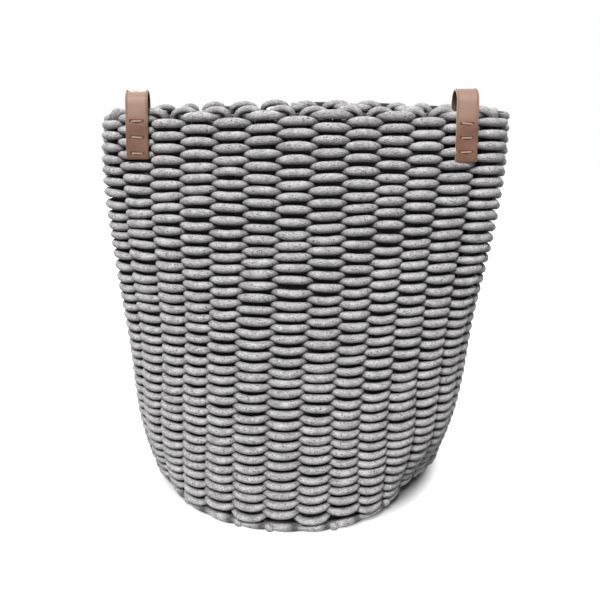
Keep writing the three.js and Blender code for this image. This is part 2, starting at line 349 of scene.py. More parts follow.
class Wire:  # one output of a node, ready for Python's operators
    def __init__(self, shop, socket):
        self.shop, self.socket = shop, socket

    def __add__(self, other):
        return self.shop.maths("ADD", self, other)

    def __radd__(self, other):
        return self.shop.maths("ADD", other, self)

    def __sub__(self, other):
        return self.shop.maths("SUBTRACT", self, other)

    def __rsub__(self, other):
        return self.shop.maths("SUBTRACT", other, self)

    def __mul__(self, other):
        return self.shop.maths("MULTIPLY", self, other)

    def __rmul__(self, other):
        return self.shop.maths("MULTIPLY", other, self)

    def __truediv__(self, other):
        return self.shop.maths("DIVIDE", self, other)

    def __rtruediv__(self, other):
        return self.shop.maths("DIVIDE", other, self)

    def __abs__(self):
        return self.shop.maths("ABSOLUTE", self)


class Shop:  # a material or a world, and the few ways in which its nodes are made
    def __init__(self, owner):
        owner.use_nodes = True
        self.owner, self.tree = owner, owner.node_tree
        self.tree.nodes.clear()

    def node(self, kind, settings=None, inputs=None, output=0):
        made = self.tree.nodes.new(kind)
        for key, value in (settings or {}).items():
            setattr(made, key, value)
        for key, value in (inputs or {}).items():
            if isinstance(value, Wire):
                self.tree.links.new(value.socket, made.inputs[key])
            else:
                made.inputs[key].default_value = value
        return Wire(self, made.outputs[output]) if made.outputs else None

    def maths(self, operation, *values):
        return self.node("ShaderNodeMath", {"operation": operation}, dict(enumerate(values)))

    def vector(self, operation, *values, output=0):
        return self.node("ShaderNodeVectorMath", {"operation": operation}, dict(enumerate(values)), output)

    def mix(self, factor, first, second):
        return self.node("ShaderNodeMix", {"data_type": "RGBA"}, {0: factor, 6: first, 7: second}, 2)

    def step(self, value, low, high):  # 0 below low, 1 above high, smooth between
        between = {"Value": value, "From Min": low, "From Max": high}
        return self.node("ShaderNodeMapRange", {"interpolation_type": "SMOOTHSTEP"}, between)

    def attribute(self, name, output="Vector"):
        return self.node("ShaderNodeAttribute", {"attribute_name": name}, None, output)

    def split(self, value):
        return [self.node("ShaderNodeSeparateXYZ", None, {0: value}, n) for n in range(3)]

    def noise(self, place, scale, detail=2.0):
        inputs = {"Vector": place, "Scale": scale, "Detail": detail}
        return self.node("ShaderNodeTexNoise", None, inputs, "Fac")

    def bump(self, height, strength, distance):
        inputs = {"Strength": strength, "Distance": distance, "Height": height}
        return self.node("ShaderNodeBump", None, inputs)

    def surface(self, **inputs):
        inputs = {key.replace("_", " "): value for key, value in inputs.items()}
        shader = self.node("ShaderNodeBsdfPrincipled", None, inputs)
        self.node("ShaderNodeOutputMaterial", None, {"Surface": shader})
        return self.owner

    def seenDirectly(self):  # 1 for the camera, and for mirrors and glass that show the background
        kinds = ("Camera", "Glossy", "Transmission")
        rays = [self.node("ShaderNodeLightPath", None, None, "Is %s Ray" % kind) for kind in kinds]
        return self.maths("MINIMUM", rays[0] + rays[1] + rays[2], 1.0)


# The melange cotton: light and dark fibres in soft patches, on a knitted tube, with painted shade where the
# cords hide one another.
cotton = {
    "light": (0.70, 0.685, 0.688, 1),
    "shade": (0.300, 0.292, 0.295, 1),
    "pit": (0.05, 0.048, 0.050, 1),
    # the near black of the painted shade, in the gaps and at the crossings
    "paintedShadeBlack": (0.014, 0.012, 0.013, 1),
    "fleck": (0.86, 0.85, 0.84, 1),
    "fibreScale": 1.1,
    "fibreStretch": (0.35, 1.0, 1.0),
    "patchScale": 0.11,
    "toneFrom": 0.38,
    "toneTo": 0.74,
    "spotScale": 0.66,
    "spotStretch": (0.62, 1.0, 1.0),
    "crowdScale": 0.075,
    "crowdFrom": 0.36,
    "crowdTo": 0.60,
    "moreInCrowds": 0.36,
    "pitsFrom": 0.93,  # each spot has a chance from 0 to 1, and above this it is an open pit
    "flecksFrom": 0.90,  # the same for a white fleck
    "chanceEdge": 0.04,
    "pitStrength": 0.85,
    "fleckStrength": 0.9,
    "wales": 26,  # columns of stitches round the cord
    "stitchPitch": 1.5,
    "stitchSlant": 1.3,
    "knitHeight": 0.10,
    "fibreHeight": 0.45,
    "pitHeight": 0.8,
    "paintedShadeStrength": 0.93,
    "bump": 0.7,
    "bumpDistance": 0.0006,
}


def cottonMaterial(name):
    shop = Shop(bpy.data.materials.new(name))
    place = shop.attribute("cordPlace")
    fibres = shop.noise(shop.vector("MULTIPLY", place, cotton["fibreStretch"]), cotton["fibreScale"], 3.0)
    patches = shop.noise(place, cotton["patchScale"], 2.0)
    tone = shop.step(fibres * 0.75 + patches * 0.35, cotton["toneFrom"], cotton["toneTo"])
    colour = shop.mix(tone, cotton["shade"], cotton["light"])

    # the open spots of the knitted tube come in crowds, and white fibres stray among them
    stretched = shop.vector("MULTIPLY", place, cotton["spotStretch"])
    cells = {"Vector": stretched, "Scale": cotton["spotScale"], "Randomness": 1.0}
    spot = shop.node("ShaderNodeTexVoronoi", None, cells, "Distance")
    pitChance, fleckChance, _ = shop.split(shop.node("ShaderNodeTexVoronoi", None, cells, "Color"))
    crowd = shop.noise(shop.vector("ADD", place, (31.0, 7.0, 3.0)), cotton["crowdScale"], 1.0)
    crowded = shop.step(crowd, cotton["crowdFrom"], cotton["crowdTo"])
    likely = pitChance + crowded * cotton["moreInCrowds"]
    isPit = shop.step(likely, cotton["pitsFrom"], cotton["pitsFrom"] + cotton["chanceEdge"])
    pit = (1 - shop.step(spot, 0.26, 0.44)) * isPit
    isFleck = shop.step(fleckChance, cotton["flecksFrom"], cotton["flecksFrom"] + cotton["chanceEdge"])
    fleck = (1 - shop.step(spot, 0.18, 0.38)) * isFleck
    colour = shop.mix(pit * cotton["pitStrength"], colour, cotton["pit"])
    colour = shop.mix(fleck * cotton["fleckStrength"], colour, cotton["fleck"])

    # the knit: columns of small V stitches along the cord
    along, sideY, sideZ = shop.split(place)
    turned = shop.maths("ARCTAN2", sideZ, sideY) * (cotton["wales"] / (2 * math.pi))
    across = abs(shop.maths("FRACT", turned) - 0.5)
    rows = along / cotton["stitchPitch"] + across * cotton["stitchSlant"]
    knit = shop.maths("SINE", rows * (2 * math.pi)) * 0.5 + (0.5 - across) * 1.6
    height = knit * cotton["knitHeight"] + fibres * cotton["fibreHeight"] - pit * cotton["pitHeight"]
    colour = shop.mix(shop.step(knit, -0.1, 0.5) * 0.2 + 0.8, cotton["shade"], colour)
    # painted shade: the gaps, crossings and lower sides of the cords darkened towards near black
    colour = shop.mix(shop.attribute("paintedShade", "Fac") * cotton["paintedShadeStrength"], colour, cotton["paintedShadeBlack"])
    return shop.surface(
        Base_Color=colour,
        Roughness=0.88 + 0.1 * fibres,
        Normal=shop.bump(height, cotton["bump"], cotton["bumpDistance"]),
        Specular_IOR_Level=0.2,
        Sheen_Weight=0.1,
        Sheen_Roughness=0.5,
    )


cottonCord = cottonMaterial("cotton_cord")
print("made the cotton")

# The weaving cord. It is thick where it passes outside a stake and pressed thin between the courses
# above and below it where it goes in and out.
weft = {
    "samples": 9,  # rings from one stake to the next
    "sides": 12,
    "out": 9.2,  # how far the cord swings out and in
    "sharpness": 1.7,
    "halfHeight": 5.2,
    "halfDepth": 5.3,
    "lowerSwell": -0.09,  # thinner towards the foot
    "sag": 0.9,  # how far each bump hangs there
    "waist": 0.55,  # half the height at a crossing, as a share of the way between courses
    "waistReach": 0.52,
    "swell": 0.045,  # by chance, from bump to bump
    "rise": 0.5,
    "calmFoot": 40.0,  # mm over which the courses' ups and downs die away
    "calmRim": 25.0,
    "underShade": 0.46,  # painted shade of the gaps: on a bump's lower side, where it meets the next course,
    "seamShade": 0.42,
    "footShade": 0.5,  # on its upper side near the foot, and at the crossings
    "crossingShade": 0.6,
}
courseSwell = draw.normal(0, 1, crossings + 2).clip(-2, 2)
courseRise = draw.normal(0, 1, crossings + 2).clip(-2, 2)


def weavingCord(first, last):
    m = np.linspace(first, last, (last - first) * weft["samples"] + 1)
    climbed = m / crossings
    wovenLength = wallLength - wall["footMargin"] - wall["topMargin"]
    along = wall["footMargin"] + wovenLength * climbed * (1 - wall["courseEase"] * (1 - climbed))
    share = stakeShare(backStake + m, along)
    pitch = wovenLength / wall["courses"] * (1 - wall["courseEase"] * (1 - 2 * climbed))
    nearest = np.round(m).astype(int)
    toMiddle = np.abs(m - nearest) * 2  # 0 at a stake, 1 halfway to the next
    bell = np.cos(toMiddle * math.pi / 2) ** 2
    side = np.tanh(weft["sharpness"] * np.cos(math.pi * m)) / math.tanh(weft["sharpness"])
    narrow = np.clip((toMiddle - weft["waistReach"]) / (1 - weft["waistReach"]), 0, 1)
    below = np.clip(1 - along / wallLength, 0, 1)
    swollen = 1 + weft["swell"] * courseSwell[nearest] * bell + weft["lowerSwell"] * below**0.7
    halfHeight = weft["halfHeight"] * swollen * (1 - narrow) + weft["waist"] * pitch * narrow
    halfDepth = weft["halfDepth"] * (1 - 0.1 * narrow)
    up = lift(share, along) + weft["rise"] * courseRise[nearest] * bell
    up = up * np.clip(along / weft["calmFoot"], 0, 1) * np.clip((wallLength - along) / weft["calmRim"], 0.3, 1)
    up = up - weft["sag"] * smooth(below * 1.6) * bell
    centres = wallPoint(share, along, weft["out"] * side + dent(share, along), aside(share, along), up)
    outward = wallFrame(share, along)[2]
    angle = 2 * math.pi * np.arange(weft["sides"]) / weft["sides"]

    # painted shade: how dark each place is painted where it passes behind, on its lower side and at the
    # crossings
    exposed = np.cos(angle)[None] * side[:, None]
    under = np.broadcast_to(np.sin(angle)[None], exposed.shape)
    lowDown = smooth(below / 0.3)[:, None]
    lowSide = weft["underShade"] * smooth((under + 0.5) / 1.5)
    lowSide = lowSide + weft["seamShade"] * smooth((under - 0.75) / 0.25)
    highSide = weft["footShade"] * lowDown * smooth((-under - 0.8) / 0.2)
    lowSide = np.maximum(lowSide * (1 + 0.15 * lowDown), highSide)
    crossing = weft["crossingShade"] * smooth((toMiddle - 0.74) / 0.26)[:, None]
    paintedShade = 1 - smooth((exposed + 0.35) / 0.5) * (1 - lowSide) * (1 - crossing)
    return *sweep(centres, outward, halfDepth, halfHeight, weft["sides"]), paintedShade.ravel()


cuts = [0, 657, 1315, crossings]  # at odd crossings, where the cord is inside
weftRows = 36  # rows of the flat map
for name, first, last in zip(("weave_lower", "weave_middle", "weave_upper"), cuts, cuts[1:]):
    points, quads, place, paintedShade = weavingCord(first, last)
    faces = capped(points, quads, weft["sides"])
    uv = stripMap(len(points) // weft["sides"] - 1, weft["sides"], weftRows)
    attributes = {"cordPlace": place, "paintedShade": paintedShade}
    makePiece(name, points, faces, cottonCord, "woven_wall", attributes, uv)
    print("wove", name, len(faces), "faces")

# the edge of the base at each stake, with the foot's soft pulls
footEdge = baseEdge + unit(edgeOutward) * dent(edgeShares, edgeAlong)[:, None]

# The stakes: each goes from the base up inside the weave, over to the next stake in a low arch, and
# down again beside it. The arch's ends lie below the last course. Further down two cords lie side by
# side at each stake, pressed flat by the weave, so one flattened cord stands for both there.
stakeCord = {
    "sides": 9,
    "inner": 3.6,  # half thickness inside the weave, and then of the arch
    "loop": 4.5,
    "archFoot": -2.7,  # the arch's ends, from the wall's top edge, and its rise from there
    "rise": 7.5,
    "legReach": 48.0,
    "beside": 5.3,  # how far each of two cords at a stake lies to its own side
    "flattened": 4.2,
    "legFlattened": 1.5,  # enough to close the gap between two legs
    "baseFrom": 0.3,  # from the base's middle to its edge, as shares of the way
    "baseTo": 0.93,
    "baseThick": 2.3,
    "baseLevel": 6.5,
    "baseSteps": 8,
    "wallSteps": 46,
    "archSteps": 17,
    "archTaper": 0.4,
    "legSteps": 7,
    "mapRows": 5,
}


# A stake's middle line, which way is outwards, half its thickness, how much wider than thick it is, and
# how much painted shade it has.
def stakePath(stake):
    # across the base and up inside the weave
    edge = footEdge[stake]
    outTo = np.linspace(stakeCord["baseFrom"], stakeCord["baseTo"], stakeCord["baseSteps"])
    low = outTo[:, None] * edge * [1, 1, 0] + [0, 0, stakeCord["baseLevel"]]
    along = np.concatenate([[6.0], np.linspace(16, wallLength - 30, stakeCord["wallSteps"])])
    share = stakeShare(stake, along)
    rise = wallPoint(share, along, dent(share, along) - 1.0 * (along < 10), aside(share, along))
    parts = [low, rise]
    flat = smooth((wallLength - 20 - along) / 18) * smooth((along - 8) / 16)
    wide = 1 + (stakeCord["flattened"] - 1) * np.r_[np.zeros(len(low)), flat]
    facing = np.concatenate([np.tile([0.0, 0.0, 1.0], (len(low), 1)), wallFrame(share, along)[2]])
    thick = [np.full(len(low), stakeCord["baseThick"]), np.full(len(rise), stakeCord["inner"])]
    # painted shade: dark where the stake runs inside the weave
    dark = [np.zeros(len(low)), np.r_[0.5, np.ones(len(rise) + 1)]]

    # a little to the side of the other cord there, over to the next stake, and down
    here, there = stakeShare(stake), stakeShare(stake + 1)
    for down, part in ((18, 0.7), (9, 1.0)):
        sideways = stakeCord["beside"] * part + aside(here, wallLength - down)
        parts.append(wallPoint(here, wallLength - down, dent(here, wallLength - down), sideways))
        thick.append(np.array([stakeCord["inner"] + 0.3 * part]))
    start = wallPoint(here, wallLength, dent(here, wallLength), stakeCord["beside"] + aside(here, wallLength))
    end = wallPoint(there, wallLength, dent(there, wallLength), aside(there, wallLength) - stakeCord["beside"])
    up = wallFrame(stakeShare(stake + 0.5), wallLength)[1]
    turn = np.linspace(0, math.pi, stakeCord["archSteps"])[:, None]
    height = stakeCord["archFoot"] + stakeCord["rise"] * np.sin(turn) + archRise[stake]
    parts.append((start + end) / 2 + (start - end) / 2 * np.cos(turn) + up * height)
    thick.append(stakeCord["loop"] * archThick[stake] - stakeCord["archTaper"] * np.cos(turn[:, 0]) ** 4)
    # painted shade at the arch's ends, where they dip under the last course
    dark.append(0.75 * np.cos(turn[:, 0]) ** 6)
    down = np.linspace(9, stakeCord["legReach"], stakeCord["legSteps"])
    sideways = -stakeCord["beside"] * np.interp(down, [0, 10, 48], [1, 0.9, 0.75])
    legAlong = wallLength - down
    legShare = stakeShare(stake + 1, legAlong)
    parts.append(wallPoint(legShare, legAlong, dent(legShare, legAlong), sideways + aside(legShare, legAlong)))
    thick.append(stakeCord["inner"] * np.interp(down, [5, 40, 48], [1.1, 1, 0.6]))
    dark.append(np.ones(len(down)))

    path = np.concatenate(parts)
    atTop = wallFrame(stakeShare(stake + 0.5), wallLength)[2]
    facing = np.concatenate([facing, np.repeat(atTop, len(path) - len(facing), 0)])
    legWide = stakeCord["legFlattened"]
    wide = np.r_[wide, legWide, legWide, np.ones(len(turn)), np.full(len(down), legWide)]
    return path, facing, np.concatenate(thick), wide, np.concatenate(dark)


archRise = draw.normal(0, 0.7, stakes).clip(-1.2, 1.2)
archThick = 1 + draw.normal(0, 0.04, stakes).clip(-0.07, 0.07)
for stake in range(stakes):
    path, outward, thick, wide, dark = stakePath(stake)
    points, quads, place = sweep(path, outward, thick, thick * wide, stakeCord["sides"])
    faces = capped(points, quads, stakeCord["sides"])
    uv = stripMap(len(path) - 1, stakeCord["sides"], stakeCord["mapRows"])
    # painted shade: dark inside the weave and at the arch's ends, and darker on the arch's lower side
    under = np.sin(2 * math.pi * np.arange(stakeCord["sides"]) / stakeCord["sides"])
    onArch = (np.arange(len(path)) >= stakeCord["baseSteps"])[:, None]
    lowSide = 0.1 + 0.3 * smooth((under + 0.6) / 0.9) + 0.6 * smooth((under - 0.1) / 0.45)
    paintedShade = dark[:, None] + (1 - dark[:, None]) * lowSide * onArch
    attributes = {"cordPlace": place, "paintedShade": paintedShade.ravel()}
    name, node = "stake_%02d" % (stake + 1), "stake_loop_%02d" % (stake + 1)
    makePiece(name, points, faces, cottonCord, node, attributes, uv)
print("set", stakes, "stakes and their loops")

# The lowest round: one bump for each stake, and at every second one the end of a stake comes out
# over its neck as a knob.
edgeRound = {
    "sides": 10,
    "samples": 10,
    "raised": 1.8,
    "neck": 3.0,
    "bump": 6.0,
    "bumpAside": 0.15,  # in stakes, from the stake's line
    "knob": 5.4,
    "knobAside": -0.32,
    "knobReach": 3.4,
    "knobIn": 0.6,
    "knobSteps": 10,
    "out": 0.4,
    "bumpUp": 1.2,
    "floorGap": 0.4,
}


def edgeRing():
    count = stakes * edgeRound["samples"]
    place = np.arange(count) / edgeRound["samples"]
    share = stakeShare(place, edgeAlong)
    wave = 0.5 + 0.5 * np.cos(2 * math.pi * (place - edgeRound["bumpAside"]))
    swell = edgeSwell[np.round(place).astype(int) % stakes]
    half = edgeRound["neck"] + (edgeRound["bump"] - edgeRound["neck"]) * wave**0.4 * swell
    out = wall["edgeOut"] + edgeRound["out"] * wave + dent(share, edgeAlong)
    centres = wallPoint(share, edgeAlong, out, 0, edgeRound["raised"] + edgeRound["bumpUp"] * wave)
    outward = wallFrame(share, edgeAlong)[2]
    points, quads, place = sweep(centres, outward, half * 0.95, half, edgeRound["sides"], closed=True)
    points[:, 2] = np.maximum(points[:, 2], edgeRound["floorGap"])  # it lies flat on the floor
    return points, quads, place


def edgeKnob(stake):
    share = stakeShare(stake + edgeRound["knobAside"], edgeAlong)
    angle = np.radians(np.linspace(-50, 100, edgeRound["knobSteps"]))
    out = wall["edgeOut"] - edgeRound["knobIn"] + dent(share, edgeAlong)
    centre = wallPoint(share, edgeAlong, out, 0, edgeRound["raised"])[0]
    _, up, outward = [v[0] for v in wallFrame(share, edgeAlong)]
    reach = edgeRound["knobReach"]
    path = centre + outward * (reach * np.cos(angle))[:, None] + up * (reach * np.sin(angle))[:, None]
    taper = np.sqrt(np.clip(1 - np.linspace(-1, 1, edgeRound["knobSteps"]) ** 6 * 0.9, 0.1, 1))
    knob = edgeRound["knob"] * taper
    facing = np.broadcast_to(outward, path.shape)
    points, quads, place = sweep(path, facing, knob * 0.7, knob, edgeRound["sides"])
    points[:, 2] = np.maximum(points[:, 2], edgeRound["floorGap"])
    return points, quads, place


edgeSwell = draw.uniform(0.75, 1.1, stakes)
points, quads, place = edgeRing()
knobs = [edgeKnob(stake) for stake in range(0, stakes, 2)]
knobPoints, knobFaces, knobPlace = joined(knobs, edgeRound["sides"])
faces = quads.tolist() + [[v + len(points) for v in face] for face in knobFaces]
points, place = np.concatenate([points, knobPoints]), np.concatenate([place, knobPlace])
# painted shade in the necks between the bumps
necks = 0.5 + 0.5 * np.cos(2 * math.pi * np.arange(len(quads)) / edgeRound["sides"] / edgeRound["samples"])
paintedShade = np.concatenate([0.9 * (1 - necks) ** 3, np.zeros(len(knobPoints))])
attributes = {"cordPlace": place, "paintedShade": paintedShade}
makePiece("edge_round", points, faces, cottonCord, "edge_cord", attributes)
print("laid the lowest round")

# The base: one cord in rounds over and under the stakes.
baseRounds = {
    "rounds": 15,
    "samples": 108,
    "sides": 8,
    "weave": 2.5,
    "halfWidth": 5.9,
    "halfThick": 3.2,
    "level": 6.5,
    "start": 0.35,  # the cord's beginning, in rounds from the middle
    "edgeGap": 0.4,
    "mapRows": 14,
}


def baseCord():
    count = baseRounds["rounds"] * baseRounds["samples"]
    n = np.linspace(baseRounds["start"], baseRounds["rounds"] - 0.02, count)
    size = n / (baseRounds["rounds"] + baseRounds["edgeGap"])
    around = stakeShare(np.arange(stakes + 1), edgeAlong)
    ring = np.concatenate([footEdge, footEdge[:1]])
    wrapped = (n - baseRounds["rounds"]) % 1 + around[0]
    edge = np.stack([np.interp(wrapped, around, ring[:, k]) for k in range(2)], -1)
    full = np.clip((size - 0.25) / 0.3, 0, 1)
    height = baseRounds["level"] + baseRounds["weave"] * full * np.cos(math.pi * stakes * n)
    centres = np.concatenate([edge * size[:, None], height[:, None]], 1)
    start = np.clip((n - 0.3) / 0.5, 0.3, 1)
    up = np.broadcast_to([0.0, 0.0, 1.0], centres.shape)
    thick, wide = baseRounds["halfThick"] * start, baseRounds["halfWidth"] * start
    return sweep(centres, up, thick, wide, baseRounds["sides"])


points, quads, place = baseCord()
faces = capped(points, quads, baseRounds["sides"])
uv = stripMap(len(points) // baseRounds["sides"] - 1, baseRounds["sides"], baseRounds["mapRows"])
# painted shade on the cord's sides, where one round meets the next
beside = np.sin(2 * math.pi * np.arange(baseRounds["sides"]) / baseRounds["sides"]) ** 4
attributes = {"cordPlace": place, "paintedShade": 0.6 * np.tile(beside, len(points) // baseRounds["sides"])}
makePiece("base_rounds", points, faces, cottonCord, "woven_base", attributes, uv)
print("wove the base")

# The leather straps: each a flat strip with softened edges, folded over the rim, with three punched
# stitches through both legs and a fine seam along both edges of its upper part.
leather = {
    # paler leather for the fold, which also stands in as painted sheen there
    "pale": (0.37, 0.235, 0.172, 1),
    "tan": (0.159, 0.068, 0.033, 1),
    "deep": (0.109, 0.045, 0.021, 1),
    "rosy": (0.225, 0.098, 0.068, 1),
    "raw": (0.74, 0.60, 0.47, 1),
    "rawDark": (0.50, 0.36, 0.25, 1),
    # painted shade, for the strap's inner side and the stitches' dents
    "crease": (0.06, 0.028, 0.018, 1),
    "hole": (0.03, 0.016, 0.012, 1),
    "cloudScale": 0.07,
    "rosyScale": 0.045,
    "rosyFrom": 0.38,
    "rosyTo": 0.68,
    "rosyStrength": 0.75,
    "paleFrom": 1.5,  # the fold's paler stretch, partly lighter leather and partly painted sheen, in stitches up the leg
    "paleTo": 2.9,
    "paleAndSheenStrength": 0.85,
    "grainScale": 1.1,
    "grainStrength": 0.22,
    "edgeStrength": 0.35,
    "holeFrom": 1.3,  # mm from a hole's middle
    "holeTo": 2.3,
    "seamFrom": 2.15,  # where the seam begins, in stitches up the leg
    "seamTo": 2.3,
    "bump": 0.5,
    "bumpDistance": 0.0003,
}
strap = {
    "width": 25.0,
    "thickness": 2.6,
    "clear": 0.3,
    "corner": 0.85,
    "legSteps": 26,
    "bendSteps": 22,
    "stitchLength": 12.2,
    "holeInset": -0.1,
    "seamInset": 1.7,
    "seamPitch": 2.6,
    "rowPitch": 17.0,  # about the way from one stitch to the next
    "endRound": 0.35,
    "endShrink": 0.86,
}


def leatherMaterial(name):
    shop = Shop(bpy.data.materials.new(name))
    place = shop.attribute("strapPlace")
    raw = shop.step(shop.attribute("rawEdge", "Fac"), 0.55, 0.9)
    phase = shop.attribute("stitchPhase", "Fac")  # 0, 1 and 2 at the three stitches, from either end
    across, along, above = shop.split(place)
    clouds = shop.noise(place, leather["cloudScale"], 3.0)
    rosy = shop.noise(shop.vector("ADD", place, (40.0, 17.0, 3.0)), leather["rosyScale"], 2.0)
    rosy = shop.step(rosy, leather["rosyFrom"], leather["rosyTo"])
    folded = shop.step(phase, leather["paleFrom"], leather["paleTo"])
    cells = {"Vector": place, "Scale": leather["grainScale"]}
    grain = shop.node("ShaderNodeTexVoronoi", {"feature": "DISTANCE_TO_EDGE"}, cells, "Distance")
    fine = shop.noise(place, 1.8, 4.0)
    colour = shop.mix(shop.step(clouds, 0.25, 0.75), leather["deep"], leather["tan"])
    colour = shop.mix(rosy * leather["rosyStrength"], colour, leather["rosy"])
    # paler towards the fold: partly lighter leather, partly painted sheen
    colour = shop.mix(folded * leather["paleAndSheenStrength"], colour, leather["pale"])
    colour = shop.mix((1 - shop.step(grain, 0.0, 0.12)) * leather["grainStrength"], colour, leather["deep"])
    colour = shop.mix(shop.step(abs(across), 11.2, 12.5) * leather["edgeStrength"], colour, leather["deep"])
    colour = shop.mix((1 - shop.step(above, -1.25, -0.9)) * 0.75, colour, leather["crease"])  # painted shade on the inner side, the one against the wall

    # the punched holes at the ends of the three stitches, and the dent that the pull makes, with painted shade
    # in it
    row = abs(shop.maths("FRACT", phase + 0.5) - 0.5) * strap["rowPitch"]
    column = abs(abs(across) - (strap["stitchLength"] / 2 - strap["holeInset"]))
    away = shop.maths("SQRT", row * row + column * column)
    low = shop.step(phase, -0.4, -0.3) * (1 - shop.step(phase, 2.3, 2.4))
    hole = (1 - shop.step(away, leather["holeFrom"], leather["holeTo"])) * low
    pressed = (1 - shop.step(row, 1.2, 2.6)) * (1 - shop.step(abs(across), 6.5, 9.0)) * low
    colour = shop.mix(hole, colour, leather["hole"])
    colour = shop.mix(pressed * 0.85, colour, leather["crease"])

    # the groove of the fine seam, darkest at its stitches
    beside = 1 - shop.step(abs(abs(across) - (strap["width"] / 2 - strap["seamInset"])), 0.3, 1.1)
    between = shop.step(abs(shop.maths("FRACT", along / strap["seamPitch"]) - 0.5), 0.1, 0.3)
    seamed = beside * shop.step(phase, leather["seamFrom"], leather["seamTo"])
    colour = shop.mix(seamed * (0.85 - 0.5 * between), colour, leather["hole"])

    # the cut edges, where the fibres show
    fibre = shop.noise(shop.vector("MULTIPLY", place, (2.0, 0.5, 2.0)), 1.5, 3.0)
    cut = shop.mix(shop.step(fibre, 0.35, 0.65), leather["rawDark"], leather["raw"])
    colour = shop.mix(raw, colour, cut)
    height = shop.step(grain, 0.0, 0.25) * 0.5 + fine * 0.5 - pressed * 2.0 - hole * 3.0 - seamed * 1.5
    return shop.surface(
        Base_Color=colour,
        Roughness=0.38 + 0.2 * fine + 0.35 * raw,
        Normal=shop.bump(height, leather["bump"], leather["bumpDistance"]),
        Specular_IOR_Level=0.5,
    )


thread = {
    "light": (0.55, 0.34, 0.23, 1),
    "dark": (0.26, 0.13, 0.08, 1),
    "half": 0.98,
    "sides": 8,
    "rise": 1.45,
    "sunk": 0.7,
    "plyPitch": 1.7,
    "seamHalf": 0.42,
    "seamSides": 6,
    "seamRise": 0.55,
    "seamSunk": 0.25,
}


def threadMaterial(name):
    shop = Shop(bpy.data.materials.new(name))
    place = shop.attribute("cordPlace")
    along, sideY, sideZ = shop.split(place)
    turned = shop.maths("ARCTAN2", sideZ, sideY) / (2 * math.pi)
    ply = abs(shop.maths("FRACT", along / thread["plyPitch"] + turned * 2) - 0.5) * 2
    fuzz = shop.noise(place, 2.5, 2.0)
    colour = shop.mix(shop.step(ply * 0.8 + fuzz * 0.3, 0.15, 0.6), thread["dark"], thread["light"])
    return shop.surface(Base_Color=colour, Roughness=0.55 + 0.2 * fuzz, Normal=shop.bump(ply, 0.8, 0.0003))


leatherStrap = leatherMaterial("leather")
waxedThread = threadMaterial("thread")


def handleFrame(side):
    share = stakeShare(handles[side]["stake"])
    roundIt, up, out = [v[0] for v in wallFrame(share, wallLength - handles[side]["reach"] / 2)]
    twist = math.radians(handles[side]["twist"])
    turnedOut = out * math.cos(twist) + roundIt * math.sin(twist)
    turnedRound = roundIt * math.cos(twist) - out * math.sin(twist)
    lean = math.radians(handles[side]["lean"])
    leaningUp = up * math.cos(lean) + turnedRound * math.sin(lean)
    leaningRound = turnedRound * math.cos(lean) - up * math.sin(lean)
    return middlePoint(share, wallLength)[0], leaningRound, leaningUp, turnedOut


# The strip's middle line, out of the wall and up it, and how far each of its points is from the outer
# leg's lower end.
def strapLine(side):
    half = wall["halfWeave"] + strap["clear"] + strap["thickness"] / 2
    legTop = handles[side]["top"] - half - strap["thickness"] / 2
    legs = np.linspace(-handles[side]["reach"], legTop, strap["legSteps"])
    angle = np.linspace(0, math.pi, strap["bendSteps"] + 1)[1:-1]
    line = np.concatenate(
        [
            np.stack([np.full(len(legs), half), legs], -1),
            np.stack([half * np.cos(angle), legTop + half * np.sin(angle)], -1),
            np.stack([np.full(len(legs), -half), legs[::-1]], -1),
        ]
    )
    lengths = np.concatenate([[0], np.cumsum(np.linalg.norm(np.diff(line, axis=0), axis=1))])
    return line, lengths


def stripProfile():  # points round the strip's section, and how much each lies on a cut edge
    profile, raw = [], []
    corner = strap["corner"]
    faceX, faceY = strap["width"] / 2 - corner, strap["thickness"] / 2 - corner
    for begin, sx, sy in ((0, 1, 1), (90, -1, 1), (180, -1, -1), (270, 1, -1)):
        for a in np.radians(begin + np.linspace(0, 90, 5)):
            profile.append((sx * faceX + corner * math.cos(a), sy * faceY + corner * math.sin(a)))
            raw.append(abs(math.cos(a)))
        if begin in (0, 180):
            profile += [(sx * x, sy * strap["thickness"] / 2) for x in (7.0, 0.0, -7.0)]
            raw += [0.0, 0.0, 0.0]
    return np.array(profile), np.array(raw)


# Points on a strap by their distance along it, sideways from its middle line and above its middle.
def onStrap(side, along, across, height):
    line, lengths = strapLine(side)
    along, across, height = np.broadcast_arrays(along, across, height)

    def lineAt(place):
        return np.stack([np.interp(place, lengths, line[:, k]) for k in (0, 1)], -1)

    here = lineAt(along)
    ahead = unit(lineAt(along + 0.4) - lineAt(along - 0.4))
    origin, roundIt, up, out = handleFrame(side)
    normal = out * ahead[..., 1:] - up * ahead[..., :1]
    points = origin + out * here[..., :1] + up * here[..., 1:] + roundIt * across[..., None]
    return points + normal * height[..., None], normal


